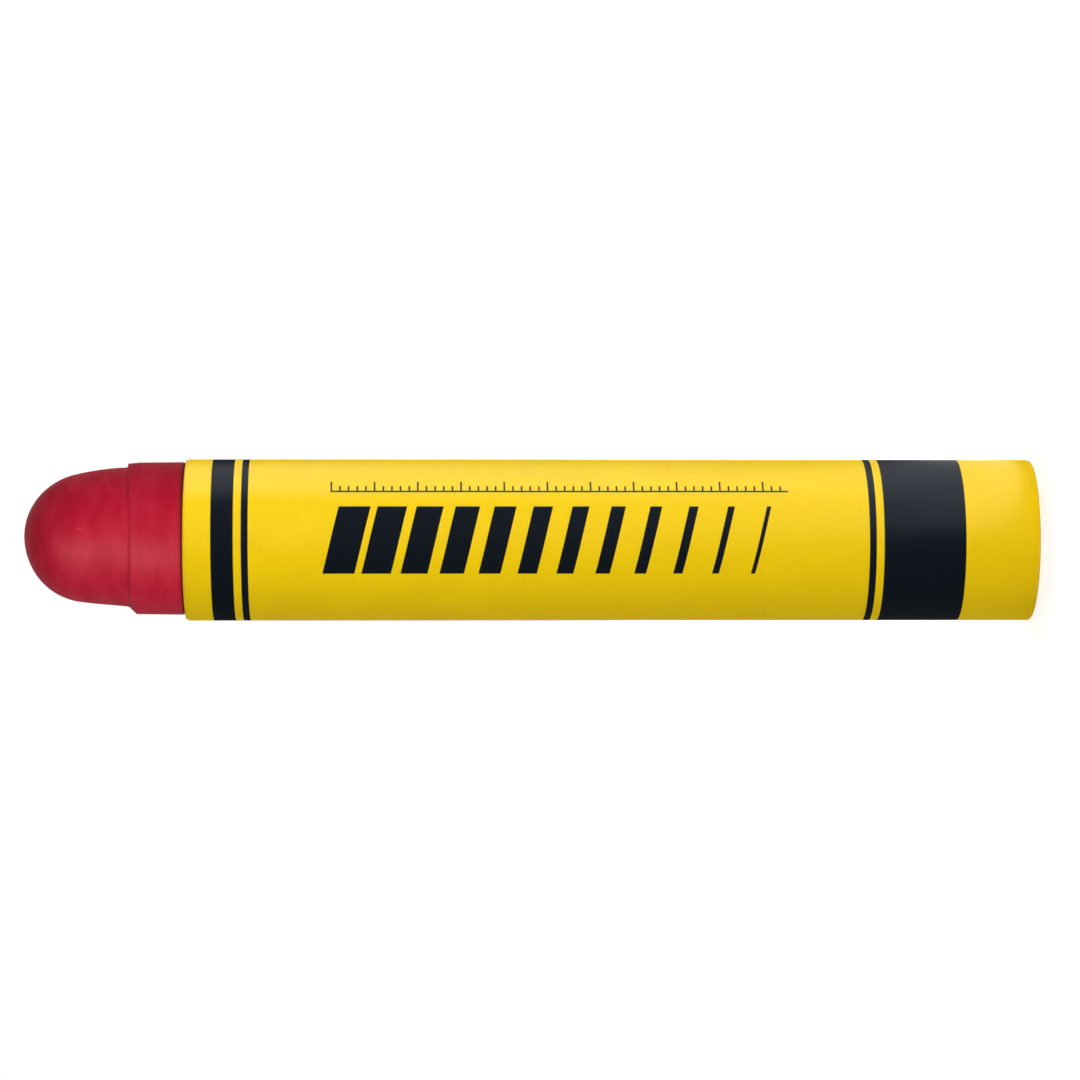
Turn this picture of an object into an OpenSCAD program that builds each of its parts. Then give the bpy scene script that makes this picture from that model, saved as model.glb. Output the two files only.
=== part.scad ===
// Solid paint marker: a cast stick of paint in a paper sleeve.
// It stands on the sleeve's rear rim at z = 0, nose up, with the label's printed front facing -Y.

/* [Paint stick] */
// Diameter of the cast stick, where the paper grips it
stick_d = 17.9; // [12:0.1:24]
// Length of bare stick between the sleeve and the shoulder of the nose
collar_len = 7; // [3:0.1:20]
// How far the nose steps in from the stick at the shoulder
shoulder_step = 0.8; // [0.5:0.05:2]
// Bevel on the shoulder's outer edge
shoulder_bevel = 0.6; // [0.1:0.05:1.5]
// How much smaller the ball of the nose is than the nose at the shoulder, in radius
nose_draw = 0.55; // [0.1:0.05:2]
// Distance from the centre of the nose's ball to the shoulder
nose_flank = 4.6; // [1:0.1:15]
// How far the nose sits off the stick's axis, towards +X, where the two mould halves met
nose_rise = 0.17; // [0:0.01:0.19]

/* [Dried skin] */
// Thickness of the film that dries on bare paint
skin_t = 0.25; // [0.1:0.05:0.5]
// How far the tail lies inside the sleeve's rear rim
tail_recess = 0.8; // [0.5:0.1:5]
// Depth of the shallow dish that the paint leaves at the tail as it shrinks
tail_dish = 0.45; // [0.1:0.05:1.5]

/* [Paper sleeve] */
// Length of the sleeve from rim to rim
sleeve_len = 99; // [50:1:200]
// Wall of the kraft tube
kraft_t = 0.31; // [0.3:0.01:1]
// Rounding on the kraft tube's outer edges
kraft_edge_r = 0.24; // [0.1:0.01:0.28]
// Thickness of the printed label
label_t = 0.15; // [0.05:0.01:0.25]
// Glue line between one layer and the next
glue_t = 0.02; // [0.01:0.01:0.05]

/* [Label seam] */
// Width of label that laps over its own first edge
lap_w = 6; // [3:0.5:12]
// Width over which the label climbs onto its first edge
lap_ramp_w = 1.2; // [0.4:0.1:3]
// Place of the lap's middle, turned from +X towards the back
lap_angle = 128; // [120:1:140]

/* [Hidden] */
$fn = 96;

// Radii, from the axis outwards
stick_r = stick_d / 2;
kraft_ri = stick_r + glue_t;
kraft_ro = kraft_ri + kraft_t;
label_ri = kraft_ro + glue_t;
label_ro = label_ri + label_t;

// The label turns in over both edges of the kraft tube, which is shorter by that
hem_t = label_t + glue_t;
hem_r = kraft_edge_r + hem_t;

// Radii of the nose at its shoulder and at its ball
nose_base_r = stick_r - shoulder_step;
ball_r = nose_base_r - nose_draw;

// The nose's outline is a ball on a flank. The flank's arc is set tangent to a ball smaller by a hair,
// so that the ball stands proud of it where they meet and the two cross at one clean edge
ball_proud = 0.005;
touch_r = ball_r - ball_proud;
flank_r = (nose_flank ^ 2 + nose_base_r ^ 2 - touch_r ^ 2) / (2 * (nose_base_r - touch_r));
nose_len = ball_r + nose_flank;

// Heights along the stick, from the sleeve's rear rim to the end of the nose
shoulder_h = sleeve_len + collar_len;
total_len = shoulder_h + nose_len;

// The tail's dish is part of a large ball behind the stick
dish_r = (stick_r ^ 2 + tail_dish ^ 2) / (2 * tail_dish);
dish_centre_h = tail_recess + tail_dish - dish_r;

// The seam, as angles on the label's outside
lap_deg = lap_w / label_ro * 180 / PI;
ramp_deg = lap_ramp_w / label_ro * 180 / PI;
lap_start = lap_angle - lap_deg / 2;
ramp_steps = 6;

// Extra length that makes a cutter or a joined piece pass its neighbour's face
over = 1;

// Height above the shoulder where the ball takes over from the flank, taken in by inset all round
function meet_h(inset) = nose_flank * (flank_r - inset) / (flank_r - touch_r);

// Half outline of the nose, taken in by inset all round, with its shoulder at y = 0 and its foot below that
module nose_outline(inset) {
    intersection() {
        translate([nose_base_r - flank_r, 0]) circle(r = flank_r - inset);
        translate([0, -over]) square([stick_r, nose_len + 2 * over]);
        union() {
            translate([0, nose_flank]) circle(r = ball_r - inset);
            translate([0, -over]) square([stick_r, over + meet_h(inset)]);
        }
    }
}

// The bare end of the stick from height low up to the nose, taken in by inset all round
module bare_end(inset, low) {
    r = stick_r - inset;
    top = shoulder_h - inset;
    translate([0, 0, low]) cylinder(r = r, h = top - shoulder_bevel - low);
    translate([0, 0, top - shoulder_bevel]) cylinder(r1 = r, r2 = r - shoulder_bevel, h = shoulder_bevel);
    translate([nose_rise, 0, shoulder_h]) rotate_extrude() nose_outline(inset);
}

// The ball whose surface, moved in by inset, is the tail's dish
module dish_ball(inset) {
    translate([0, 0, dish_centre_h]) sphere(r = dish_r + inset);
}

// Half outline of a tube wall from radius r0 to r1, with its two outer corners rounded to r
module wall_outline(r0, r1, h0, h1, r) {
    translate([r0, h0]) square([r1 - r0 - r, h1 - h0]);
    translate([r0, h0 + r]) square([r1 - r0, h1 - h0 - 2 * r]);
    for (h = [h0 + r, h1 - r]) translate([r1 - r, h]) circle(r = r);
}

// One casting: the shank in the sleeve, the collar, the shoulder and the nose under its skin
module paint_core() {
    color("#b5172f") {
        difference() {
            translate([0, 0, tail_recess]) cylinder(r = stick_r, h = sleeve_len - tail_recess);
            dish_ball(skin_t);
        }
        bare_end(skin_t, sleeve_len - over);
    }
}

// The film that seals the bare nose and collar until it is rubbed off
module nose_skin() {
    color("#a3152b") difference() {
        bare_end(0, sleeve_len);
        bare_end(skin_t, sleeve_len - over);
    }
}

// The film on the dished tail
module tail_skin() {
    color("#8f1428") intersection() {
        translate([0, 0, tail_recess]) cylinder(r = stick_r, h = tail_dish + skin_t);
        difference() {
            dish_ball(skin_t);
            dish_ball(0);
        }
    }
}

// The stiff tube that the paint is held in
module kraft_tube() {
    color("#b98d5e") rotate_extrude()
        wall_outline(kraft_ri, kraft_ro, hem_t, sleeve_len - hem_t, kraft_edge_r);
}

// The label's turn round the tube, with both rims turned in over the tube's edges
module label_turn() {
    rotate_extrude() difference() {
        wall_outline(kraft_ri, label_ro, 0, sleeve_len, hem_r);
        wall_outline(kraft_ri - over, label_ri, hem_t, sleeve_len - hem_t, kraft_edge_r + glue_t);
    }
}

// The end of the label that laps over its first edge, trimmed short of the rims
module label_lap() {
    lap_len = sleeve_len - 2 * hem_r;
    translate([0, 0, hem_r]) {
        rotate([0, 0, lap_start]) rotate_extrude(angle = lap_deg)
            translate([label_ri + label_t / 2, 0]) square([label_t * 1.5, lap_len]);
        linear_extrude(lap_len) polygon(concat(
            [for (i = [0 : ramp_steps]) lap_point(label_ro + label_t * i / ramp_steps, i)],
            [for (i = [ramp_steps : -1 : 0]) lap_point(label_ri + label_t / 2, i)]
        ));
    }
}

// A point at radius r, i steps up the ramp that leads onto the lap
function lap_point(r, i) =
    let (a = lap_start - ramp_deg * (1 - i / ramp_steps)) [r * cos(a), r * sin(a)];

// The printed paper: one turn and a lap
module printed_label() {
    color("#f4cd12") {
        label_turn();
        label_lap();
    }
}

paint_core();
nose_skin();
tail_skin();
kraft_tube();
printed_label();
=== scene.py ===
"""A solid paint marker: a cast stick of waxy paint in a lapped paper sleeve, with its stage."""

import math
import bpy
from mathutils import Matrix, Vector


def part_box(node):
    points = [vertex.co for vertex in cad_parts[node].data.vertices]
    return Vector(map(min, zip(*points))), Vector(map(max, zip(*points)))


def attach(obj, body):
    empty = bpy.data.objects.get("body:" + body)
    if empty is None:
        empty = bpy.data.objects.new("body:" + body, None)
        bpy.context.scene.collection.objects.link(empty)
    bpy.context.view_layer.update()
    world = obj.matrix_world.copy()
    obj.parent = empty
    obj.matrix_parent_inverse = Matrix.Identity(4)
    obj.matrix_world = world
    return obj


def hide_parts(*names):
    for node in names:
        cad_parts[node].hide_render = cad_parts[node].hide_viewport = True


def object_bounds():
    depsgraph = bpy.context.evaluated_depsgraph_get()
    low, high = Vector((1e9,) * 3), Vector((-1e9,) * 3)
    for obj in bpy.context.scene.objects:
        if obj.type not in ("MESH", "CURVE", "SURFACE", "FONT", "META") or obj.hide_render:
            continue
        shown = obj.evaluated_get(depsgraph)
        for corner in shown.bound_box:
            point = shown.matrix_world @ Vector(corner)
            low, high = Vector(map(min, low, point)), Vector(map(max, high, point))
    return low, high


bl_info = {
    "name": "Paint stick",
    "version": (1, 0, 0),
    "blender": (4, 5, 0),
    "location": "View3D > Sidebar > Paint stick",
    "description": "Dresses the solids of a paint stick with detailed meshes and finishes",
    "category": "Object",
}

import bmesh
import bpy
from bpy.props import FloatProperty, FloatVectorProperty, IntProperty, PointerProperty
from mathutils import Matrix, Vector, noise

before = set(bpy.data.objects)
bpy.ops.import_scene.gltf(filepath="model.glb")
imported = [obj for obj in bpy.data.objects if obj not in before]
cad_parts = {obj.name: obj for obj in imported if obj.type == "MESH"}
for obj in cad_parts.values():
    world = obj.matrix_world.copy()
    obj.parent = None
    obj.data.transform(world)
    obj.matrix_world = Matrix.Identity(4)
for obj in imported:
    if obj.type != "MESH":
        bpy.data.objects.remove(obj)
CAD_LOW, CAD_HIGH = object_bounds()
LABEL_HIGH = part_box("printed_label")[1]
TUBE_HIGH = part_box("kraft_tube")[1]
NOSE_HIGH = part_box("nose_skin")[1]
TAIL_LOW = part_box("tail_skin")[0]

BODY = "root"
MM = 0.001
FULL_TURN = 2 * math.pi
QUARTER_TURN = math.pi / 2
# How much further forward the sleeve's front rim stands than the solid label's
RIM_RISE = 0.2 * MM


# Sizes and colours


def length(name, description, default):
    """A length property in metres."""
    return FloatProperty(
        name=name,
        description=description,
        default=default,
        unit="LENGTH",
        precision=5,
    )


def colour(name, description, default):
    """A linear colour property."""
    return FloatVectorProperty(
        name=name,
        description=description,
        default=default,
        subtype="COLOR",
        min=0,
        max=1,
    )


class StickSizes(bpy.types.PropertyGroup):
    """Sizes of the stick and its sleeve."""

    sleeve_length: length("Sleeve length", "From rim to rim", LABEL_HIGH.z + RIM_RISE)
    label_radius: length("Label radius", "Outside of the label, clear of its lap", LABEL_HIGH.x)
    label_thickness: length("Label thickness", "One layer of the printed paper", 0.15 * MM)
    glue: length("Glue", "Glue line between one layer and the next", 0.02 * MM)
    rim_bend: length("Rim bend", "Tightest outer radius of the label's turned rims", 0.3 * MM)
    rim_slack: length("Rim slack", "How much further along the sleeve a slack turn reaches", 0.35 * MM)
    tube_radius: length("Tube radius", "Outside of the kraft tube", TUBE_HIGH.x)
    tube_wall: length("Tube wall", "Wall of the kraft tube", 0.31 * MM)
    stick_radius: length("Stick radius", "Cast stick where the sleeve grips it", NOSE_HIGH.y)
    collar_length: length("Collar length", "Bare stick between sleeve and shoulder", 6.88 * MM)
    collar_taper: length("Collar taper", "How much the collar draws in to the shoulder", 0.05 * MM)
    nose_foot: length("Nose foot", "Radius of the nose at the shoulder", 8.15 * MM)
    nose_ball: length("Nose ball", "Radius of the ball that ends the nose", 7.6 * MM)
    nose_flank: length("Nose flank", "From the shoulder to the ball's centre", 4.44 * MM)
    stick_offset: length("Stick offset", "Stick off the sleeve's axis, towards +X", 0.19 * MM)
    nose_offset: length("Nose offset", "Nose's foot off the stick's axis, towards +X", 0.15 * MM)
    nose_lean: length("Nose lean", "How far the nose leans back from there to its ball", 0.09 * MM)
    tip_offset: length("Tip offset", "How far the very tip is drawn towards +X", 0.2 * MM)
    front_dip: length("Front dip", "How far the shoulder, out of square, dips at the front", 0.42 * MM)
    low_dip: length("Low dip", "How far the shoulder dips on the -X side", 0.15 * MM)
    skin: length("Skin", "Thickness of the dried film", 0.24 * MM)
    groove: length("Groove", "Gap between the film's edge and the sleeve", 0.1 * MM)
    tail_dish: length("Tail dish", "Depth of the hollow at the tail", 0.45 * MM)
    lip: length("Lip", "Length over which the film's edge turns down to the groove", 0.45 * MM)
    fillet: length("Fillet", "Reach of the soft corner between shoulder and nose", 0.16 * MM)
    lap_width: length("Lap width", "Label that laps over its own first edge", 6 * MM)
    lap_ramp: length("Lap ramp", "Width over which the label climbs onto its first edge", 1.2 * MM)
    lap_angle: FloatProperty(
        name="Lap angle",
        description="Place of the lap's middle, turned from +X towards the back",
        default=math.radians(128),
        subtype="ANGLE",
    )


class LabelPrint(bpy.types.PropertyGroup):
    """Layout of the print, along the label from its front rim and across from its front line."""

    ring_start: length("Ring start", "Front edge of the broad ring", 3.2 * MM)
    ring_width: length("Ring width", "Width of the broad ring", 2.6 * MM)
    line_gap: length("Line gap", "Yellow between a broad ring and its thin line", 0.9 * MM)
    line_width: length("Line width", "Width of the thin lines", 0.8 * MM)
    bars_start: length("Bars start", "Front end of the row of bars", 17 * MM)
    bar_pitch: length("Bar pitch", "From one bar to the next", 4.5 * MM)
    bar_count: IntProperty(name="Bars", description="How many bars the row has", default=12, min=2)
    bar_first: length("First bar", "Width of the first bar", 3.7 * MM)
    bar_last: length("Last bar", "Width of the last bar", 0.5 * MM)
    bar_slant: FloatProperty(
        name="Bar slant",
        description="Lean of the bars, along per across",
        default=0.24,
    )
    bar_half: length("Bar half", "Half the bars' height, across", 4 * MM)
    rule_place: length("Rule place", "Lower edge of the thin rule, across", 5.9 * MM)
    rule_width: length("Rule width", "Width of the thin rule", 0.22 * MM)
    tick_pitch: length("Tick pitch", "From one tick to the next", 1 * MM)
    tick_width: length("Tick width", "Width of a tick", 0.2 * MM)
    tick_length: length("Tick length", "Length of a short tick", 0.7 * MM)
    tall_every: IntProperty(name="Tall ticks", description="One in this many is tall", default=5, min=2)
    band_start: length("Band start", "Front edge of the rear band", 81 * MM)
    band_width: length("Band width", "Width of the rear band", 9.5 * MM)


class StickColours(bpy.types.PropertyGroup):
    """Colours of the finishes, linear."""

    paint: colour("Paint", "Fresh paint", (0.47, 0.005, 0.028))
    paint_deep: colour("Deep paint", "Darker clouds in the paint", (0.38, 0.003, 0.019))
    bloom: colour("Bloom", "Pale haze on the dried film", (0.5, 0.026, 0.052))
    # Painted shade: this dark colour stands for the shadow that the sleeve's edge casts on the collar
    sleeve_shade: colour("Crust", "Dark ring of old paint at the sleeve's edge", (0.13, 0.009, 0.005))
    yellow: colour("Label yellow", "Printed ground of the label", (0.97, 0.655, 0.003))
    ink: colour("Ink", "Black print", (0.0035, 0.0062, 0.0105))
    # Dust and painted shade: darkens the foot of the lap's cut edge, where dust gathers and the step casts
    # its shade
    dust_and_shade: colour("Dust", "Dust along the label's seam", (0.2, 0.12, 0.03))
    paper: colour("Paper", "Bare edge and back of the label", (0.8, 0.77, 0.7))
    kraft: colour("Kraft", "Kraft paper", (0.44, 0.26, 0.12))
    kraft_dark: colour("Kraft fibre", "Darker fibres of the kraft paper", (0.25, 0.13, 0.055))
    floor: colour("Floor", "Pale floor", (0.8, 0.8, 0.8))


# Curves and meshes

SHARP_ANGLE = math.radians(35)


def mix(first, second, share):
    """A value between two others."""
    return first + (second - first) * share


def ease(low, high, value):
    """0 below low, 1 above high, and a smooth step between."""
    share = min(max((value - low) / (high - low), 0), 1)
    return share * share * (3 - 2 * share)


def bend(first, corner, last, steps):
    """Points on a smooth bend from first to last, drawn towards a corner."""
    shares = [step / steps for step in range(steps + 1)]
    return [first * (1 - t) ** 2 + corner * 2 * t * (1 - t) + last * t * t for t in shares]


def round_corners(corners, steps):
    """Points along a line of (x, y, reach) corners, each rounded from reach before to reach after it."""
    places = [Vector(corner[:2]) for corner in corners]
    points = [places[0]]
    for i in range(1, len(corners) - 1):
        before = places[i] + (places[i - 1] - places[i]).normalized() * corners[i][2]
        after = places[i] + (places[i + 1] - places[i]).normalized() * corners[i][2]
        points += bend(before, places[i], after, steps)
    points.append(places[-1])
    return points


def stretch(first, last, count):
    """Points from first towards last, without last."""
    return [first.lerp(last, i / count) for i in range(count)]


def turns_round(count):
    """Even turns once round the axis, from +X."""
    return [FULL_TURN * i / count for i in range(count)]


def low_side(turn):
    """How far a turn is from +X, where it is 0, to -X, where it is 1."""
    return (1 - math.cos(turn)) / 2


def around(turn, radius, height, offset=0.0):
    """A point at a turn from +X about an axis moved by offset along +X."""
    return Vector((radius * math.cos(turn) + offset, radius * math.sin(turn), height))


def lumps(place, size, height):
    """Soft noise at a place, up and down by height, with lumps of about the given size."""
    return noise.noise(place / size) * height


def lathe(outlines, poles=False):
    """A closed mesh from outlines set round the axis, one per column, as lists of points.

    With poles, the outlines share their first and last points. Otherwise each outline is a loop.
    """
    bm = bmesh.new()
    count = len(outlines[0])
    ends = (0, count - 1) if poles else ()
    shared = {k: bm.verts.new(outlines[0][k]) for k in ends}
    columns = [[shared.get(k) or bm.verts.new(line[k]) for k in range(count)] for line in outlines]
    for i, column in enumerate(columns):
        following = columns[(i + 1) % len(columns)]
        for k in range(count - 1 if poles else count):
            up = (k + 1) % count
            corners = [column[k], following[k], following[up], column[up]]
            bm.faces.new(dict.fromkeys(corners))
    bmesh.ops.recalc_face_normals(bm, faces=bm.faces)
    return bm


def finish_piece(bm, name, material, node):
    """Makes the object for a mesh, which stands for a node and takes a material slot's finish."""
    mesh = bpy.data.meshes.new(name)
    bm.to_mesh(mesh)
    bm.free()
    mesh.shade_smooth()
    mesh.set_sharp_from_angle(angle=SHARP_ANGLE)
    mesh.materials.append(material)
    piece = bpy.data.objects.new(name, mesh)
    bpy.context.scene.collection.objects.link(piece)
    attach(piece, BODY)
    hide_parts(node)


# The bare end of the stick

NOSE_COLUMNS = 400
FLANK_STEPS = 44
BALL_STEPS = 72
COLLAR_STEPS = 48
LIP_STEPS = 12
CORNER_STEPS = 8
UNDER_FLANK_STEPS = 12
UNDER_BALL_STEPS = 24

# Height over the nose's foot where its flank has met the ball all round
NOSE_MEET = 6.4 * MM
# Power of the height that draws only the very tip aside
TIP_POWER = 8

# The shoulder drops from the nose over a brow to its edge on the collar.
# Each form is given where it is crisp, at +X, rubbed soft, at front and back, and chamfered, at -X.
BROW_DROP = (0.1 * MM, 0.42 * MM, 0.47 * MM)
EDGE_DROP = (1.5 * MM, 2.6 * MM, 0.94 * MM)
# The brow's place between the nose's radius and the collar's
BROW_SHARE = (0.62, 0.35, 0.5)
# How far from +X to -X, from 0 to 1, the chamfer begins
CHAMFER_START = 0.88
# Reach of the rounding at the edge and at the brow
EDGE_REACH = 0.1 * MM
BROW_REACH = 0.08 * MM
# How much wider the fillet is where the shoulder is rubbed soft
SOFT_FILLET = 1.8
# Heights over the step, in fillets, where the shoulder's points end and the nose's begin
SHOULDER_END = 1.6
FLANK_START = 2.2

# Unevenness of the casting: the size of its lumps and their height
BROAD_LUMPS = (5 * MM, 0.022 * MM)
FINE_LUMPS = (1.3 * MM, 0.005 * MM)
# A shift that keeps the fine lumps apart from the broad ones
FINE_SHIFT = Vector((0.3, 0.1, 0.7))

# Small marks: degrees from the front towards +X, place below the nose's end, radius and depth
MARKS = (
    (8, 7.0 * MM, 0.42 * MM, 0.09 * MM),
    (13, 6.4 * MM, 1.1 * MM, 0.04 * MM),
    (9, 15.9 * MM, 1.3 * MM, 0.05 * MM),
    (-32, 14.6 * MM, 0.6 * MM, 0.03 * MM),
    (-27, 15.4 * MM, 0.5 * MM, 0.03 * MM),
    (150, 8.0 * MM, 0.7 * MM, 0.04 * MM),
    (-110, 14.0 * MM, 0.6 * MM, 0.035 * MM),
)


def ball_radius(sizes, height):
    """The radius of the nose's ball at a height over the nose's foot."""
    return math.sqrt(sizes.nose_ball**2 - (height - sizes.nose_flank) ** 2)


def arc_flank(sizes, height):
    """The nose's radius where its flank is an arc that runs square from the foot into the ball."""
    ball = sizes.nose_ball
    flank = sizes.nose_flank
    foot = sizes.nose_foot
    sweep = (flank**2 + foot**2 - ball**2) / (2 * (foot - ball))
    meet = flank * sweep / (sweep - ball)
    if height < meet:
        return foot - sweep + math.sqrt(sweep**2 - height**2)
    return ball_radius(sizes, height)


def straight_flank(sizes, height):
    """The nose's radius where its flank is a straight line from the foot that touches the ball."""
    ball = sizes.nose_ball
    flank = sizes.nose_flank
    foot = sizes.nose_foot
    reach = math.hypot(foot, flank)
    lean = QUARTER_TURN - math.atan2(flank, foot) - math.asin(ball / reach)
    meet = math.sqrt(reach**2 - ball**2) * math.cos(lean)
    if height < meet:
        return foot - height * math.tan(lean)
    return ball_radius(sizes, height)


def nose_radius(sizes, under, height):
    """The nose's radius at a height over its foot, with an arc flank at +X and a straight one at -X."""
    return mix(arc_flank(sizes, height), straight_flank(sizes, height), under)


def nose_points(sizes, under, low, inset, flank_steps, ball_steps):
    """The nose from a low height to its pole, as (radius, height over its foot), taken in by inset."""
    points = []
    for i in range(flank_steps):
        height = mix(low, NOSE_MEET, i / flank_steps)
        points.append((nose_radius(sizes, under, height) - inset, height))
    start = math.asin((NOSE_MEET - sizes.nose_flank) / sizes.nose_ball)
    ball = sizes.nose_ball - inset
    for i in range(ball_steps + 1):
        a = mix(start, QUARTER_TURN, i / ball_steps)
        points.append((ball * math.cos(a), sizes.nose_flank + ball * math.sin(a)))
    return points


def nose_place(sizes, turn, radius, height):
    """A point on the leaning nose, at a height over its foot."""
    lean = sizes.nose_lean * ease(0, sizes.nose_flank, height)
    tip = sizes.tip_offset * max((height - sizes.nose_flank) / sizes.nose_ball, 0) ** TIP_POWER
    offset = sizes.stick_offset + sizes.nose_offset - lean + tip
    return around(turn, radius, sizes.sleeve_length + sizes.collar_length + height, offset)


def shoulder_form(values, turn):
    """A form of the shoulder at a turn, out of its values where it is crisp, soft and chamfered."""
    crisp, soft, chamfered = values
    chamfer = ease(CHAMFER_START, 1, low_side(turn))
    return mix(mix(crisp, soft, math.sin(turn) ** 2), chamfered, chamfer)


def shoulder_heights(sizes, turn):
    """Heights of the shoulder's step, brow and edge over the nose's foot."""
    step = sizes.front_dip * math.sin(turn) - sizes.low_dip * low_side(turn)
    return step, step - shoulder_form(BROW_DROP, turn), step - shoulder_form(EDGE_DROP, turn)


def under_film(sizes, turn, inset):
    """The bare end taken in by inset, from its pole to the collar under the shoulder."""
    step, _, edge = shoulder_heights(sizes, turn)
    nose = nose_points(sizes, low_side(turn), step, inset, UNDER_FLANK_STEPS, UNDER_BALL_STEPS)
    points = [nose_place(sizes, turn, r, h) for r, h in reversed(nose)]
    edge_z = sizes.sleeve_length + sizes.collar_length + edge
    points.append(around(turn, sizes.stick_radius - inset, edge_z - inset, sizes.stick_offset))
    return points


def bare_end_outline(sizes, turn):
    """The film at one turn: under its skin from the pole to the groove, then outside back to the pole."""
    under = low_side(turn)
    step, brow, edge = shoulder_heights(sizes, turn)
    foot_z = sizes.sleeve_length + sizes.collar_length
    groove_z = sizes.sleeve_length + sizes.groove
    collar = sizes.stick_radius - sizes.collar_taper
    nose_r = nose_radius(sizes, under, step)
    brow_r = mix(nose_r, collar, shoulder_form(BROW_SHARE, turn))
    fillet = sizes.fillet * mix(1, SOFT_FILLET, math.sin(turn) ** 2)
    points = under_film(sizes, turn, sizes.skin)

    lip_low = Vector((sizes.stick_radius - sizes.skin, groove_z))
    lip_corner = Vector((sizes.stick_radius, groove_z))
    lip_top = Vector((sizes.stick_radius, groove_z + sizes.lip))
    collar_top = Vector((collar, foot_z + edge - 2 * EDGE_REACH))
    wall = bend(lip_low, lip_corner, lip_top, LIP_STEPS)[:-1]
    wall += stretch(lip_top, collar_top, COLLAR_STEPS)
    points += [around(turn, r, z, sizes.stick_offset) for r, z in wall]

    above = step + SHOULDER_END * fillet
    corners = [
        (collar, edge - 2 * EDGE_REACH, 0),
        (collar, edge, EDGE_REACH),
        (brow_r, brow, BROW_REACH),
        (nose_r, step, fillet),
        (nose_radius(sizes, under, above), above, 0),
    ]
    for r, h in round_corners(corners, CORNER_STEPS):
        offset = sizes.stick_offset + sizes.nose_offset * ease(edge, step, h)
        points.append(around(turn, r, foot_z + h, offset))
    nose = nose_points(sizes, under, step + FLANK_START * fillet, 0, FLANK_STEPS, BALL_STEPS)
    return points + [nose_place(sizes, turn, r, h) for r, h in nose]


def mark_depth(sizes, place):
    """How deep the marks go at a place on the bare end."""
    depth = 0
    end = sizes.sleeve_length + sizes.collar_length + sizes.nose_flank + sizes.nose_ball
    reach = math.hypot(place.x, place.y)
    for degrees, below, radius, deep in MARKS:
        turn = math.radians(degrees) - QUARTER_TURN
        away = (place - around(turn, reach, end - below)).length
        depth += deep * (1 - ease(0, radius, away))
    return depth


def bare_end_mesh(sizes):
    """The nose and collar, with the slow unevenness and small marks of a casting."""
    bm = lathe([bare_end_outline(sizes, turn) for turn in turns_round(NOSE_COLUMNS)], poles=True)
    bm.normal_update()
    moves = []
    for vert in bm.verts:
        broad = lumps(vert.co, *BROAD_LUMPS)
        fine = lumps(vert.co + FINE_SHIFT, *FINE_LUMPS)
        moves.append(vert.normal * (broad + fine - mark_depth(sizes, vert.co)))
    for vert, move in zip(bm.verts, moves):
        vert.co += move
    return bm


# The printed label

LABEL_COLUMNS = 360
LABEL_ROWS = 66
# Shares of the straight wall where it has further rows, close to both of its ends
CLOSE_ROWS = (0.002, 0.004)
BEND_STEPS = 8
BARE_BEND_STEPS = 4
RAMP_STEPS = 10

# The lap's cut edge: width of its slope, and how many slopes it keeps clear of the even columns
CUT_SLOPE = 0.07 * MM
CUT_CLEAR = 3
# Columns at the cut: place past it in slopes, rise in thicknesses of paper, and 1 where it is printed
CUT_COLUMNS = (
    (-2.5, 1.0, 1.0),
    (-0.3, 1.12, 1.0),
    (0.0, 1.12, 0.0),
    (1.0, 0.0, 0.0),
    (1.3, 0.0, 1.0),
)
# Length over which the lap thins out towards the rims
LAP_TRIM = 0.2 * MM

# Slight waves of the paper: size, height and the length over which they fade out towards the rims
WAVE_SIZE = 14 * MM
WAVE_HEIGHT = 0.012 * MM
WAVE_FADE = 1.5 * MM


def lap_ends(sizes):
    """The turns at the foot of the ramp, at its top and at the lap's cut edge."""
    half = sizes.lap_width / sizes.label_radius / 2
    ramp = sizes.lap_ramp / sizes.label_radius
    return sizes.lap_angle - half - ramp, sizes.lap_angle - half, sizes.lap_angle + half


def label_columns(sizes):
    """The label's columns, as (turn, how far its outside stands proud, 1 where it is printed or 0)."""
    foot, top, cut = lap_ends(sizes)
    slope = CUT_SLOPE / sizes.label_radius
    paper = sizes.label_thickness
    columns = []
    for turn in turns_round(LABEL_COLUMNS):
        if foot < turn < top or abs(turn - cut) < CUT_CLEAR * slope:
            continue
        columns.append((turn, paper if top <= turn < cut else 0.0, 1.0))
    for i in range(RAMP_STEPS + 1):
        columns.append((mix(foot, top, i / RAMP_STEPS), paper * ease(0, RAMP_STEPS, i), 1.0))
    for place, rise, mark in CUT_COLUMNS:
        columns.append((cut + place * slope, paper * rise, mark))
    return sorted(columns)


def rim_reach(sizes, turn):
    """How far along the sleeve the rear rim's bend reaches, most at +X, and the front rim's, most at -X."""
    under = low_side(turn)
    rear = sizes.rim_bend + sizes.rim_slack * (1 - under)
    front = sizes.rim_bend + sizes.rim_slack * under
    return rear, front


def quarter(centre, across, along, start, steps):
    """A quarter of an ellipse about a centre."""
    turns = [start + QUARTER_TURN * i / steps for i in range(steps + 1)]
    return [centre + Vector((across * math.cos(a), along * math.sin(a))) for a in turns]


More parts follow.
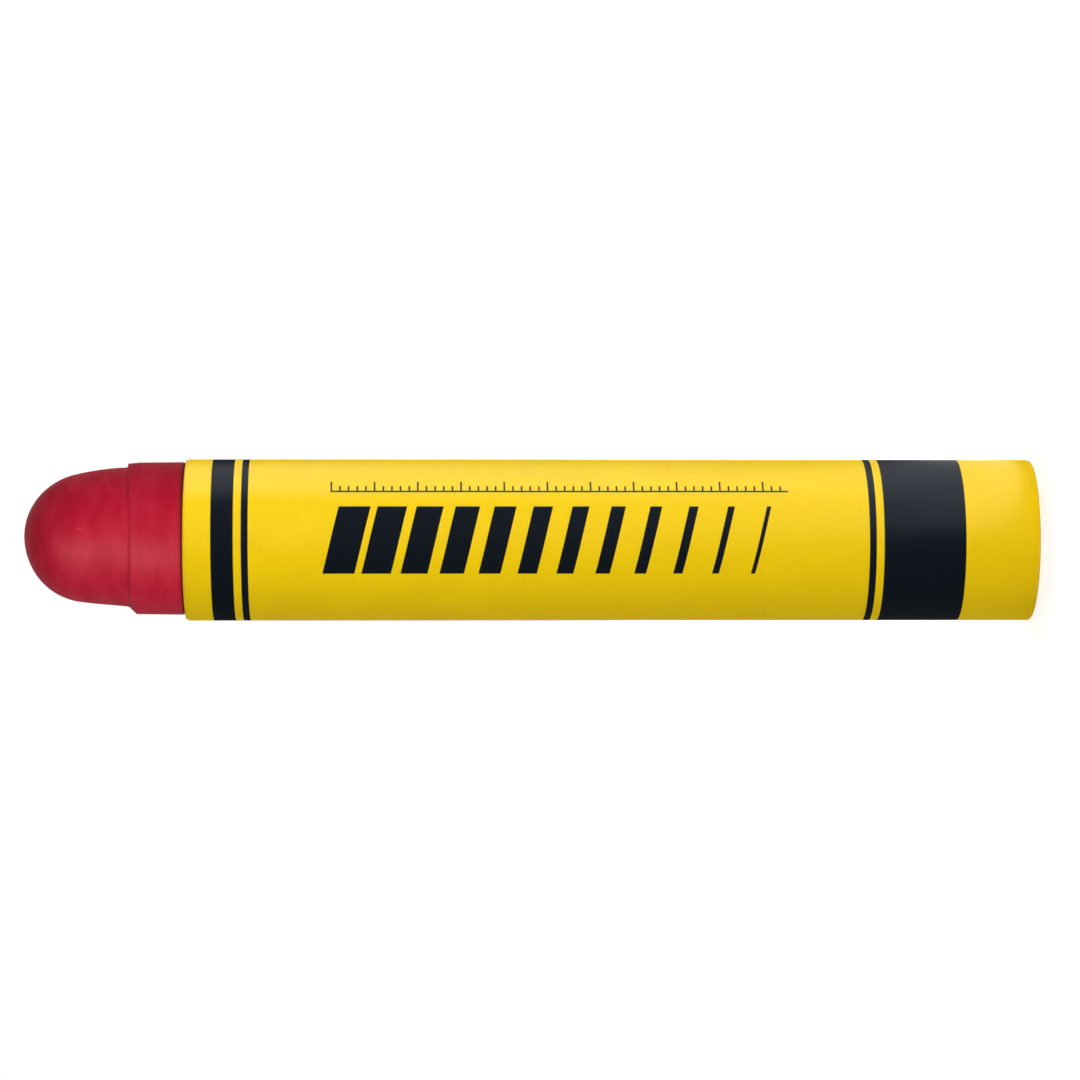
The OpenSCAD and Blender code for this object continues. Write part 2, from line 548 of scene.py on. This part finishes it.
def label_loop(sizes, turn, lift):
    """The label's section at one turn, as (radius, height) points of its printed and its bare face."""
    top = sizes.sleeve_length
    paper = sizes.label_thickness
    across = sizes.rim_bend
    rear, front = rim_reach(sizes, turn)
    outer = sizes.label_radius
    lip = sizes.tube_radius - sizes.tube_wall
    low = Vector((outer - across, rear))
    high = Vector((outer - across, top - front))

    printed = [Vector((lip, 0))]
    printed += quarter(low, across, rear, -QUARTER_TURN, BEND_STEPS)
    rows = list(CLOSE_ROWS)
    rows += [i / LABEL_ROWS for i in range(1, LABEL_ROWS)]
    rows += [1 - share for share in reversed(CLOSE_ROWS)]
    for share in rows:
        z = mix(rear, top - front, share)
        rise = lift * ease(rear, rear + LAP_TRIM, z) * ease(front, front + LAP_TRIM, top - z)
        printed.append(Vector((outer + rise, z)))
    printed += quarter(high, across, front, 0, BEND_STEPS)
    printed.append(Vector((lip, top)))

    bare = [Vector((lip, top - paper))]
    bare += reversed(quarter(high, across - paper, front - paper, 0, BARE_BEND_STEPS))
    bare += reversed(quarter(low, across - paper, rear - paper, -QUARTER_TURN, BARE_BEND_STEPS))
    bare.append(Vector((lip, paper)))
    return printed, bare


def label_mesh(sizes):
    """The sleeve's printed paper, with its lap, its turned-in rims and a slight waviness."""
    outlines = []
    marks = []
    for turn, lift, mark in label_columns(sizes):
        printed, bare = label_loop(sizes, turn, lift)
        outlines.append([around(turn, r, z) for r, z in printed + bare])
        marks.append([mark] * len(printed) + [0.0] * len(bare))
    bm = lathe(outlines)
    layer = bm.verts.layers.float.new("printed")
    count = len(outlines[0])
    for i, vert in enumerate(bm.verts):
        vert[layer] = marks[i // count][i % count]
        outward = Vector((vert.co.x, vert.co.y, 0)).normalized()
        free = ease(0, WAVE_FADE, vert.co.z) * ease(0, WAVE_FADE, sizes.sleeve_length - vert.co.z)
        vert.co += outward * lumps(vert.co, WAVE_SIZE, WAVE_HEIGHT) * free
    return bm


# The kraft tube

PLIES = 3
TUBE_COLUMNS = 240
# Room past the glue between the tube's ends and the label's bends
END_ROOM = 0.03 * MM
# Noise on a ring of radius 1 makes each ply's cut uneven: lump size, distance of rings and height
CUT_LUMPS = 0.21
RINGS_APART = 3
CUT_UNEVEN = 0.02 * MM


def under_rim(sizes, reach, radius):
    """How far in from a rim the label's inside lies at a radius, for a bend of that reach."""
    paper = sizes.label_thickness
    past_bend = (radius - sizes.label_radius + sizes.rim_bend) / (sizes.rim_bend - paper)
    share = min(max(past_bend, 0), 1)
    return reach - (reach - paper) * math.sqrt(1 - share * share)


def tube_outline(sizes, turn):
    """The tube's section at one turn, its plies cut a little unevenly under the label's bends."""
    bore = sizes.tube_radius - sizes.tube_wall
    ply = sizes.tube_wall / PLIES
    rear, front = rim_reach(sizes, turn)
    low = []
    high = []
    for i in range(PLIES):
        room = sizes.glue + END_ROOM + lumps(around(turn, 1, RINGS_APART * i), CUT_LUMPS, CUT_UNEVEN)
        for r in (bore + ply * i, bore + ply * (i + 1)):
            low.append(Vector((r, under_rim(sizes, rear, r) + room)))
            high.append(Vector((r, sizes.sleeve_length - under_rim(sizes, front, r) - room)))
    return [around(turn, r, z) for r, z in low + list(reversed(high))]


def tube_mesh(sizes):
    """The kraft tube."""
    return lathe([tube_outline(sizes, turn) for turn in turns_round(TUBE_COLUMNS)])


# The tail and the core

TAIL_RINGS = 60
TAIL_COLUMNS = 240
# One ring in this many is enough where the tail is hidden
HIDDEN_STEP = 10
# Film that creeps along the wall towards the rim, and the share of the radius where it begins
CREEP = 0.16 * MM
CREEP_START = 0.93
# Rings left by the pour: height, radians from the axis to the wall, and where they rise and fade
RIPPLE = 0.025 * MM
RIPPLE_PHASE = 34
RIPPLE_RISE = (0.25, 0.6)
RIPPLE_FADE = (0.8, 0.95)
# Lumps of the pour, which fade out towards the wall
POUR_LUMPS = (3.5 * MM, 0.05 * MM)
# A sink mark where the paint shrank
SINK_PLACE = Vector((1.1 * MM, -0.7 * MM, 0))
SINK_RADIUS = 2.6 * MM
SINK_DEPTH = 0.4 * MM
# Gap between the core and the films
CORE_GAP = 0.01 * MM


def tail_dish(sizes, turn):
    """The dished tail at one turn, from the axis to the wall, as (radius, height)."""
    dish = []
    for i in range(TAIL_RINGS + 1):
        share = i / TAIL_RINGS
        radius = sizes.stick_radius * share
        place = around(turn, radius, 0)
        hollow = sizes.tail_dish * (1 - share * share)
        creep = CREEP * ease(CREEP_START, 1, share)
        ripple = RIPPLE * math.sin(share * RIPPLE_PHASE)
        ripple *= ease(*RIPPLE_RISE, share) * (1 - ease(*RIPPLE_FADE, share))
        lump = lumps(place, *POUR_LUMPS) * (1 - share)
        sink = SINK_DEPTH * (1 - ease(0, SINK_RADIUS, (place - SINK_PLACE).length))
        dish.append(Vector((radius, TAIL_LOW.z + hollow - creep + ripple + lump + sink)))
    return dish


def tail_outline(sizes, turn):
    """The film on the tail at one turn: its hidden face from the axis to the wall, then the dished one."""
    dish = tail_dish(sizes, turn)
    hidden = [Vector((r, z + sizes.skin)) for r, z in dish[::HIDDEN_STEP]]
    return [around(turn, r, z) for r, z in hidden + list(reversed(dish))]


def tail_mesh(sizes):
    """The dished tail."""
    return lathe([tail_outline(sizes, turn) for turn in turns_round(TAIL_COLUMNS)], poles=True)


def core_outline(sizes, turn):
    """The cast stick at one turn, just inside both films, from the nose's pole to the tail's middle."""
    inset = sizes.skin + CORE_GAP
    front_z = sizes.sleeve_length + CORE_GAP
    points = under_film(sizes, turn, inset)
    points.append(around(turn, sizes.stick_radius - inset, front_z, sizes.stick_offset))
    points.append(around(turn, sizes.stick_radius, sizes.sleeve_length - sizes.skin))
    tail = [(r, z + inset) for r, z in tail_dish(sizes, turn)[::HIDDEN_STEP]]
    return points + [around(turn, r, z) for r, z in reversed(tail)]


def core_mesh(sizes):
    """The cast stick inside the sleeve and the films."""
    return lathe([core_outline(sizes, turn) for turn in turns_round(TAIL_COLUMNS)], poles=True)


# Shader maths

# Sockets of the Mix node for colours, by number because others have the same names
MIX_FACTOR = 0
MIX_FIRST = 6
MIX_SECOND = 7
MIX_RESULT = 2


class Wire:
    """One output of a shader tree. Python's operators on it add Math nodes."""

    def __init__(self, tree, socket=None):
        self.tree = tree
        self.socket = socket

    def node(self, kind, settings=(), inputs=(), output=0):
        """Adds a node, sets it up, sets or links its inputs, and gives the wire from one output."""
        made = self.tree.nodes.new(kind)
        for name, value in dict(settings).items():
            setattr(made, name, value)
        for key, value in dict(inputs).items():
            if isinstance(value, Wire):
                self.tree.links.new(value.socket, made.inputs[key])
            else:
                made.inputs[key].default_value = value
        return Wire(self.tree, made.outputs[output] if made.outputs else None)

    def other(self, output):
        """The wire from another output of the same node."""
        return Wire(self.tree, self.socket.node.outputs[output])

    def math(self, operation, *values):
        """A Math node."""
        return self.node("ShaderNodeMath", {"operation": operation}, enumerate(values))

    def __add__(self, other):
        return self.math("ADD", self, other)

    __radd__ = __add__

    def __sub__(self, other):
        return self.math("SUBTRACT", self, other)

    def __rsub__(self, other):
        return self.math("SUBTRACT", other, self)

    def __mul__(self, other):
        return self.math("MULTIPLY", self, other)

    __rmul__ = __mul__

    def __truediv__(self, other):
        return self.math("DIVIDE", self, other)

    def __rtruediv__(self, other):
        return self.math("DIVIDE", other, self)

    def __neg__(self):
        return self * -1

    def __mod__(self, other):
        return self.math("FLOORED_MODULO", self, other)

    def __rmod__(self, other):
        return self.math("FLOORED_MODULO", other, self)

    def __or__(self, other):
        return self.math("MAXIMUM", self, other)

    __ror__ = __or__

    def __and__(self, other):
        return self.math("MINIMUM", self, other)

    __rand__ = __and__

    def floor(self):
        """The whole number below."""
        return self.math("FLOOR", self)

    def root(self):
        """The square root."""
        return self.math("SQRT", self)

    def past(self, place, soft):
        """0 before a place and 1 after it, with a soft edge."""
        settings = {"interpolation_type": "SMOOTHSTEP", "clamp": True}
        inputs = {"Value": self, "From Min": place - soft, "From Max": place + soft}
        return self.node("ShaderNodeMapRange", settings, inputs)

    def within(self, low, high, soft):
        """1 between two places and 0 elsewhere."""
        return self.past(low, soft) - self.past(high, soft)

    def blend(self, first, second):
        """The first colour where this wire is 0 and the second where it is 1."""
        inputs = {MIX_FACTOR: self, MIX_FIRST: rgba(first), MIX_SECOND: rgba(second)}
        return self.node("ShaderNodeMix", {"data_type": "RGBA"}, inputs, MIX_RESULT)

    def grain(self, place, scale, detail=3.0, roughness=0.5, distortion=0.0):
        """Noise from 0 to 1 over a place, scale being lumps per metre."""
        inputs = {"Vector": place, "Scale": scale, "Detail": detail, "Roughness": roughness}
        inputs["Distortion"] = distortion
        return self.node("ShaderNodeTexNoise", (), inputs)

    def drawn_out(self, scale):
        """A place whose grain is drawn out where the scale is under 1."""
        return self.node("ShaderNodeMapping", (), {"Vector": self, "Scale": scale})

    def bump(self, height, distance, strength):
        """A normal from a height between 0 and 1 that stands for a distance in metres."""
        inputs = {"Height": height, "Distance": distance, "Strength": strength}
        return self.node("ShaderNodeBump", (), inputs)


def rgba(value):
    """A colour with full alpha, or a wire as it is."""
    return value if isinstance(value, Wire) else (*value[:3], 1.0)


def new_finish(name):
    """An empty material, and a wire to build its nodes from."""
    material = bpy.data.materials.new(name)
    material.use_nodes = True
    tree = material.node_tree
    tree.nodes.clear()
    return material, Wire(tree)


def close_finish(start, shader):
    """Links a shader to the material's output."""
    start.node("ShaderNodeOutputMaterial", (), {"Surface": shader})


def close_principled(start, inputs):
    """Links a Principled shader with these inputs to the material's output."""
    close_finish(start, start.node("ShaderNodeBsdfPrincipled", (), inputs))


def object_place(start):
    """A point's place in the part's own frame, as a vector and its three parts."""
    vector = start.node("ShaderNodeTexCoord", (), (), "Object")
    split = start.node("ShaderNodeSeparateXYZ", (), {"Vector": vector})
    return vector, [split.other(axis) for axis in "XYZ"]


# Finishes

# Draws the paint's mottling out into bands round the stick, and the kraft's fibres along the tube
PAINT_BANDS = (0.4, 0.4, 1.0)
KRAFT_GRAIN = (1.0, 1.0, 0.25)
# Painted shade at the sleeve's edge, a dark ring: height, soft edge, raggedness, rise towards +X and cover
SLEEVE_SHADE_HEIGHT = 0.25 * MM
SLEEVE_SHADE_SOFT = 0.4 * MM
SLEEVE_SHADE_RAGGED = 0.2 * MM
SLEEVE_SHADE_LEAN = 0.014
SLEEVE_SHADE_COVER = 0.95
# Softness of the ink's edge, and how far the print climbs once round, as the sheet was rolled askew
INK_SOFT = 0.03 * MM
PRINT_SKEW = 0.22 * MM
# Dust and painted shade at the foot of the lap's cut edge: reach past the cut edge, soft edge and cover
DUST_AND_SHADE_REACH = 0.24 * MM
DUST_AND_SHADE_SOFT = 0.2 * MM
DUST_AND_SHADE_COVER = 0.5
# Wear at the rims: reach from the rim and share of the print that is rubbed away in its flecks
WEAR_REACH = 0.3 * MM
WEAR_SHARE = 0.1
# The darker of the label's two slightly different yellows, as a share of the other
YELLOW_SHADE = 0.93


def paint_finish(name, colours, haze, sleeve_edge=None):
    """Waxy paint: slow mottling in bands round the stick, a pale bloom and a thin satin gloss.

    A sleeve's edge, given as a height, gets a dark ring of painted shade above it, standing for the sleeve
    edge's shadow.
    """
    material, start = new_finish(name)
    place, (x, _, z) = object_place(start)
    banded = place.drawn_out(PAINT_BANDS)
    broad = start.grain(banded, 300, detail=3, roughness=0.55, distortion=0.4)
    cloud = start.grain(banded, 620, detail=2, roughness=0.5, distortion=0.6)
    fine = start.grain(place, 1500, detail=4, roughness=0.6)
    speck = start.grain(place, 5200, detail=2, roughness=0.5)
    red = (broad * 0.6 + cloud * 0.4).past(0.46, 0.2).blend(colours.paint_deep, colours.paint)
    bloom = (broad * 0.5 + cloud * 0.5).past(0.56, 0.16) * (0.4 + fine) * haze
    base = bloom.blend(red, colours.bloom)
    if sleeve_edge is not None:
        # Painted shade: darkens the collar just above the sleeve's edge, ragged and reaching further up
        # towards +X
        above = z - sleeve_edge - broad * SLEEVE_SHADE_RAGGED - x * SLEEVE_SHADE_LEAN
        sleeve_shade = (1 - above.past(SLEEVE_SHADE_HEIGHT, SLEEVE_SHADE_SOFT)) * SLEEVE_SHADE_COVER
        base = sleeve_shade.blend(base, colours.sleeve_shade)
    inputs = {
        "Base Color": base,
        "Roughness": 0.6,
        "Specular IOR Level": 0.0,
        "Coat Weight": 0.15 + cloud * 0.14 + fine * 0.1,
        "Coat Roughness": 0.5,
        "Normal": start.bump(fine * 0.7 + speck * 0.3, distance=0.04 * MM, strength=0.3),
    }
    close_principled(start, inputs)
    return material


def ring_mask(layout, along):
    """The two rings at the front, and the band and its line at the rear."""
    strips = (
        (layout.ring_start, layout.ring_width),
        (layout.ring_start + layout.ring_width + layout.line_gap, layout.line_width),
        (layout.band_start, layout.band_width),
        (layout.band_start - layout.line_gap - layout.line_width, layout.line_width),
    )
    return sum(along.within(low, low + width, INK_SOFT) for low, width in strips)


def bar_mask(layout, along, across, row_end):
    """The row of slanted bars of falling width."""
    lean = along - across * layout.bar_slant
    place = (lean - layout.bars_start) / layout.bar_pitch
    index = place.floor()
    shrink = (layout.bar_first - layout.bar_last) / (layout.bar_count - 1)
    width = (layout.bar_first - index * shrink) / layout.bar_pitch
    bars = 1 - (place - index - width).past(0, INK_SOFT / layout.bar_pitch)
    row = lean.within(layout.bars_start, row_end - layout.bar_pitch / 2, INK_SOFT)
    return bars * row * across.within(-layout.bar_half, layout.bar_half, INK_SOFT)


def rule_mask(layout, along, across, row_end):
    """The thin rule and its ticks, which end one tick before the row of bars."""
    rule_top = layout.rule_place + layout.rule_width
    rule = across.within(layout.rule_place, rule_top, INK_SOFT)
    place = along - layout.bars_start
    count = (place / layout.tick_pitch).floor()
    tall = 1 - (count % layout.tall_every).past(0.5, 0.1)
    tick_top = rule_top + layout.tick_length * (1 + tall)
    ticks = 1 - (place % layout.tick_pitch).past(layout.tick_width, INK_SOFT)
    ticks = ticks * across.past(rule_top, INK_SOFT) * (1 - (across - tick_top).past(0, INK_SOFT))
    return (rule | ticks) * along.within(layout.bars_start, row_end - layout.tick_pitch, INK_SOFT)


def print_mask(layout, along, across):
    """Where the label carries black ink, from 0 to 1."""
    row_end = layout.bars_start + layout.bar_pitch * layout.bar_count
    bars = bar_mask(layout, along, across, row_end)
    rule = rule_mask(layout, along, across, row_end)
    return ring_mask(layout, along) | bars | rule


def label_finish(sizes, layout, colours):
    """Coated yellow paper with black print, with dust and painted shade at its seam, and worn along its
    rims.
    """
    material, start = new_finish("printed_coated_paper")
    place, (x, y, z) = object_place(start)
    along = sizes.sleeve_length - z
    across = start.math("ARCTAN2", x, -y) * sizes.label_radius
    cut = lap_ends(sizes)[2]
    past_cut = (start.math("ARCTAN2", y, x) - cut) % FULL_TURN
    skewed = along + past_cut * (PRINT_SKEW / FULL_TURN) - PRINT_SKEW / 2
    ink = print_mask(layout, skewed, across)
    # Dust and painted shade: darkens the label just past the lap's cut edge, at the foot of its step
    dust_and_shade = (1 - (past_cut * sizes.label_radius).past(DUST_AND_SHADE_REACH, DUST_AND_SHADE_SOFT)) * DUST_AND_SHADE_COVER
    printed = start.node("ShaderNodeAttribute", {"attribute_name": "printed"}, (), "Fac")

    cloud = start.grain(place, 120, detail=2, roughness=0.5)
    fibre = start.grain(place, 3800, detail=3, roughness=0.6)
    fleck = start.grain(place, 900, detail=4, roughness=0.7)
    shade = tuple(part * YELLOW_SHADE for part in colours.yellow)
    ground = (cloud * 0.5 + fibre * 0.3).past(0.4, 0.3).blend(shade, colours.yellow)
    inked = dust_and_shade.blend(ink.blend(ground, colours.ink), colours.dust_and_shade)
    rim = 1 - (along & (sizes.sleeve_length - along)).past(WEAR_REACH, WEAR_REACH)
    worn = rim * fleck.past(0.58, 0.12) * WEAR_SHARE
    cover = printed.past(0.9, 0.08) * (1 - worn)
    inputs = {
        "Base Color": cover.blend(colours.paper, inked),
        "Roughness": 0.6,
        "Specular IOR Level": 0.0,
        "Coat Weight": 0.044 - worn * 0.25 - ink * 0.019,
        "Coat Roughness": 0.34,
        "Coat IOR": 1.9,
        "Normal": start.bump(fibre * 0.6 + cloud * 0.4 - ink * 0.08, distance=0.03 * MM, strength=0.25),
    }
    close_principled(start, inputs)
    return material


def kraft_finish(colours):
    """Brown rolled paper with short fibres."""
    material, start = new_finish("kraft_paper")
    place, _ = object_place(start)
    fibre = start.grain(place.drawn_out(KRAFT_GRAIN), 2600, detail=4, roughness=0.65, distortion=1.2)
    cloud = start.grain(place, 300)
    inputs = {
        "Base Color": (fibre * 0.7 + cloud * 0.3).past(0.5, 0.25).blend(colours.kraft_dark, colours.kraft),
        "Roughness": 0.8 + fibre * 0.15,
        "Specular IOR Level": 0.2,
        "Normal": start.bump(fibre, distance=0.04 * MM, strength=0.5),
    }
    close_principled(start, inputs)
    return material


# Stage

CAMERA_DISTANCE = 470.9 * MM
CAMERA_AIM = 57.72 * MM
CAMERA_TILT = math.radians(1.85)
CAMERA_LENS = 133.47
CAMERA_SENSOR = 36.0
CAMERA_CLIP = (0.01, 20.0)

FLOOR_RADIUS = 1.5
FLOOR_SIDES = 96
# The floor lies a hair under the rim that stands on it
FLOOR_DROP = 0.02 * MM
# Glow that lets the floor show white, far from the stick and at its foot, and the foot's reach
FLOOR_GLOW = 0.9
FOOT_GLOW = 0.54
FOOT_REACH = 0.03

# The studio's level, its share at the horizon, how fast that falls with height, and the least share
AMBIENT = 0.535
HORIZON_LEVEL = 1.15
ZENITH_SHADE = 1.6
ZENITH_LEVEL = 0.33

PAINT_PIECES = ("nose_film", "cast_core")
LABEL_PIECES = ("paper_label",)
# Soft lights: name, degrees from the stick's front towards +X, distance, height and size in metres,
# level, pieces that it leaves out, the kind of light that it doesn't give, and whether it lies down
LIGHTS = (
    ("key", 16, 0.7, 0.04, (0.6, 0.4), 0.88, PAINT_PIECES, "glossy", False),
    ("overhead", 85, 0.55, 0.06, (0.12, 0.4), 0.25, PAINT_PIECES, "glossy", False),
    ("sheen", 101, 0.55, 0.2, (0.74, 0.7), 6.9, PAINT_PIECES, "diffuse", False),
    ("card", 88, 0.292, 0.001, (0.556, 0.2), 6.7, PAINT_PIECES, "diffuse", True),
    ("fill", -6, 0.4, 0.03, (0.4, 0.06), 0.75, LABEL_PIECES, "glossy", False),
    ("glint", -27, 0.75, 0.4, (0.44, 0.8), 1.5, LABEL_PIECES, "diffuse", False),
    ("side", -135, 0.7, 0.06, (0.4, 0.7), 0.42, PAINT_PIECES, "glossy", False),
    ("back", 170, 0.7, 0.5, (0.6, 0.7), 0.75, (), "glossy", False),
)


def seen_rays(start):
    """1 for rays that show the background by sight, gloss or glass, and 0 for those that light."""
    rays = start.node("ShaderNodeLightPath", (), (), "Is Camera Ray")
    return rays | rays.other("Is Glossy Ray") | rays.other("Is Transmission Ray")


def floor_finish(colours):
    """Pale floor that shows white and keeps the object's shadow."""
    material, start = new_finish("pale_floor")
    _, (x, y, _) = object_place(start)
    far = (x * x + y * y).root().past(FOOT_REACH, FOOT_REACH)
    shade = far.blend((FOOT_GLOW,) * 3, (FLOOR_GLOW,) * 3)
    dull = start.node("ShaderNodeBsdfDiffuse", (), {"Color": rgba(colours.floor)})
    glow = start.node("ShaderNodeEmission", (), {"Color": shade})
    both = start.node("ShaderNodeAddShader", (), {0: dull, 1: glow})
    close_finish(start, start.node("ShaderNodeMixShader", (), {0: seen_rays(start), 1: dull, 2: both}))
    return material


def make_floor(colours):
    """A round floor under the stick."""
    bm = bmesh.new()
    bmesh.ops.create_circle(bm, cap_ends=True, segments=FLOOR_SIDES, radius=FLOOR_RADIUS)
    mesh = bpy.data.meshes.new("floor")
    bm.to_mesh(mesh)
    bm.free()
    mesh.materials.append(floor_finish(colours))
    floor = bpy.data.objects.new("floor", mesh)
    floor.location.z = -FLOOR_DROP
    bpy.context.scene.collection.objects.link(floor)


def make_world():
    """A plain grey studio with a darker ceiling, which shows as white."""
    world = bpy.data.worlds.new("studio")
    world.use_nodes = True
    world.node_tree.nodes.clear()
    start = Wire(world.node_tree)
    way = start.node("ShaderNodeTexCoord", (), (), "Generated")
    height = start.node("ShaderNodeSeparateXYZ", (), {"Vector": way}, "Z")
    ambient = AMBIENT * ((HORIZON_LEVEL - (height | 0) * ZENITH_SHADE) | ZENITH_LEVEL)
    inputs = {"Color": rgba((1, 1, 1)), "Strength": ambient + seen_rays(start) * (1 - ambient)}
    sky = start.node("ShaderNodeBackground", (), inputs)
    start.node("ShaderNodeOutputWorld", (), {"Surface": sky})
    bpy.context.scene.world = world


def make_softbox(name, degrees, distance, height, size, level, left_out, without, lying):
    """A soft light, whose level is about what it adds to a white card that faces it.

    Pieces that are left out aren't lit by it, and it gives either no glossy or no diffuse light.
    It faces the stick's middle, or straight up where it lies on the floor.
    """
    light = bpy.data.lights.new(name, "AREA")
    light.shape = "RECTANGLE"
    light.size, light.size_y = size
    light.energy = level * (math.pi * distance) ** 2
    lamp = bpy.data.objects.new(name, light)
    turn = math.radians(degrees)
    lamp.location = Vector((math.sin(turn) * distance, -math.cos(turn) * distance, height))
    aim = Vector((0, 0, CAD_HIGH.z / 2))
    facing = Vector((0, 0, 1)) if lying else aim - lamp.location
    lamp.rotation_mode = "QUATERNION"
    lamp.rotation_quaternion = facing.to_track_quat("-Z", "Y")
    lamp.visible_camera = False
    setattr(lamp, "visible_" + without, False)
    bpy.context.scene.collection.objects.link(lamp)
    flags = bpy.data.collections.new(name + "_flags")
    for piece in left_out:
        flags.objects.link(bpy.data.objects[piece])
    for flag in flags.collection_objects:
        flag.light_linking.link_state = "EXCLUDE"
    lamp.light_linking.receiver_collection = flags


def make_camera():
    """The photograph's view: almost square to the stick, rolled so that the nose points left."""
    data = bpy.data.cameras.new("camera")
    data.lens = CAMERA_LENS
    data.sensor_width = CAMERA_SENSOR
    data.clip_start, data.clip_end = CAMERA_CLIP
    data.dof.use_dof = False
    camera = bpy.data.objects.new("camera", data)
    right = Vector((0, -math.sin(CAMERA_TILT), -math.cos(CAMERA_TILT)))
    up = Vector((1, 0, 0))
    back = right.cross(up)
    camera.matrix_world = Matrix((right, up, back)).transposed().to_4x4()
    camera.location = Vector((0, 0, CAMERA_AIM)) + back * CAMERA_DISTANCE
    bpy.context.scene.collection.objects.link(camera)
    bpy.context.scene.camera = camera


# Operators and panel


class PAINT_STICK_OT_core(bpy.types.Operator):
    """Makes the cast stick inside the sleeve"""

    bl_idname = "paint_stick.core"
    bl_label = "Cast core"

    def execute(self, context):
        finish = paint_finish("fresh_paint", context.scene.stick_colours, haze=0.0)
        mesh = core_mesh(context.scene.stick_sizes)
        finish_piece(mesh, "cast_core", finish, "paint_core")
        return {"FINISHED"}


class PAINT_STICK_OT_bare_end(bpy.types.Operator):
    """Makes the dried film over the nose and the collar"""

    bl_idname = "paint_stick.bare_end"
    bl_label = "Nose and collar"

    def execute(self, context):
        sizes = context.scene.stick_sizes
        colours = context.scene.stick_colours
        finish = paint_finish("dried_paint", colours, haze=0.35, sleeve_edge=sizes.sleeve_length)
        finish_piece(bare_end_mesh(sizes), "nose_film", finish, "nose_skin")
        return {"FINISHED"}


class PAINT_STICK_OT_tail(bpy.types.Operator):
    """Makes the dished tail inside the rear rim"""

    bl_idname = "paint_stick.tail"
    bl_label = "Tail"

    def execute(self, context):
        finish = paint_finish("dried_tail", context.scene.stick_colours, haze=0.6)
        mesh = tail_mesh(context.scene.stick_sizes)
        finish_piece(mesh, "tail_film", finish, "tail_skin")
        return {"FINISHED"}


class PAINT_STICK_OT_tube(bpy.types.Operator):
    """Makes the kraft tube under the label"""

    bl_idname = "paint_stick.tube"
    bl_label = "Kraft tube"

    def execute(self, context):
        finish = kraft_finish(context.scene.stick_colours)
        mesh = tube_mesh(context.scene.stick_sizes)
        finish_piece(mesh, "rolled_tube", finish, "kraft_tube")
        return {"FINISHED"}


class PAINT_STICK_OT_label(bpy.types.Operator):
    """Makes the printed label with its lap and turned-in rims"""

    bl_idname = "paint_stick.label"
    bl_label = "Printed label"

    def execute(self, context):
        scene = context.scene
        finish = label_finish(scene.stick_sizes, scene.label_print, scene.stick_colours)
        mesh = label_mesh(scene.stick_sizes)
        finish_piece(mesh, "paper_label", finish, "printed_label")
        return {"FINISHED"}


class PAINT_STICK_OT_stage(bpy.types.Operator):
    """Makes the camera, the studio, the floor and the lights"""

    bl_idname = "paint_stick.stage"
    bl_label = "Stage"

    def execute(self, context):
        context.scene.view_settings.view_transform = "Standard"
        make_camera()
        make_world()
        make_floor(context.scene.stick_colours)
        for light in LIGHTS:
            make_softbox(*light)
        return {"FINISHED"}


class PAINT_STICK_PT_panel(bpy.types.Panel):
    """Lists the pieces of the stick, its sizes, its print and its colours"""

    bl_idname = "PAINT_STICK_PT_panel"
    bl_label = "Paint stick"
    bl_space_type = "VIEW_3D"
    bl_region_type = "UI"
    bl_category = "Paint stick"

    def draw(self, context):
        for operator in OPERATORS:
            self.layout.operator(operator.bl_idname)
        for group_name, group in GROUPS.items():
            for name in group.__annotations__:
                self.layout.prop(getattr(context.scene, group_name), name)


OPERATORS = (
    PAINT_STICK_OT_core,
    PAINT_STICK_OT_bare_end,
    PAINT_STICK_OT_tail,
    PAINT_STICK_OT_tube,
    PAINT_STICK_OT_label,
    PAINT_STICK_OT_stage,
)
GROUPS = {"stick_sizes": StickSizes, "label_print": LabelPrint, "stick_colours": StickColours}


def register():
    """Registers the groups, the operators and the panel."""
    for name, group in GROUPS.items():
        bpy.utils.register_class(group)
        setattr(bpy.types.Scene, name, PointerProperty(type=group))
    for operator in OPERATORS:
        bpy.utils.register_class(operator)
    bpy.utils.register_class(PAINT_STICK_PT_panel)


def unregister():
    """Takes the panel, the operators and the groups out again."""
    bpy.utils.unregister_class(PAINT_STICK_PT_panel)
    for operator in reversed(OPERATORS):
        bpy.utils.unregister_class(operator)
    for name, group in reversed(GROUPS.items()):
        delattr(bpy.types.Scene, name)
        bpy.utils.unregister_class(group)


def main():
    """Makes every piece and the stage."""
    register()
    bpy.ops.paint_stick.core()
    bpy.ops.paint_stick.bare_end()
    bpy.ops.paint_stick.tail()
    bpy.ops.paint_stick.tube()
    bpy.ops.paint_stick.label()
    bpy.ops.paint_stick.stage()


if __name__ == "__main__":
    main()
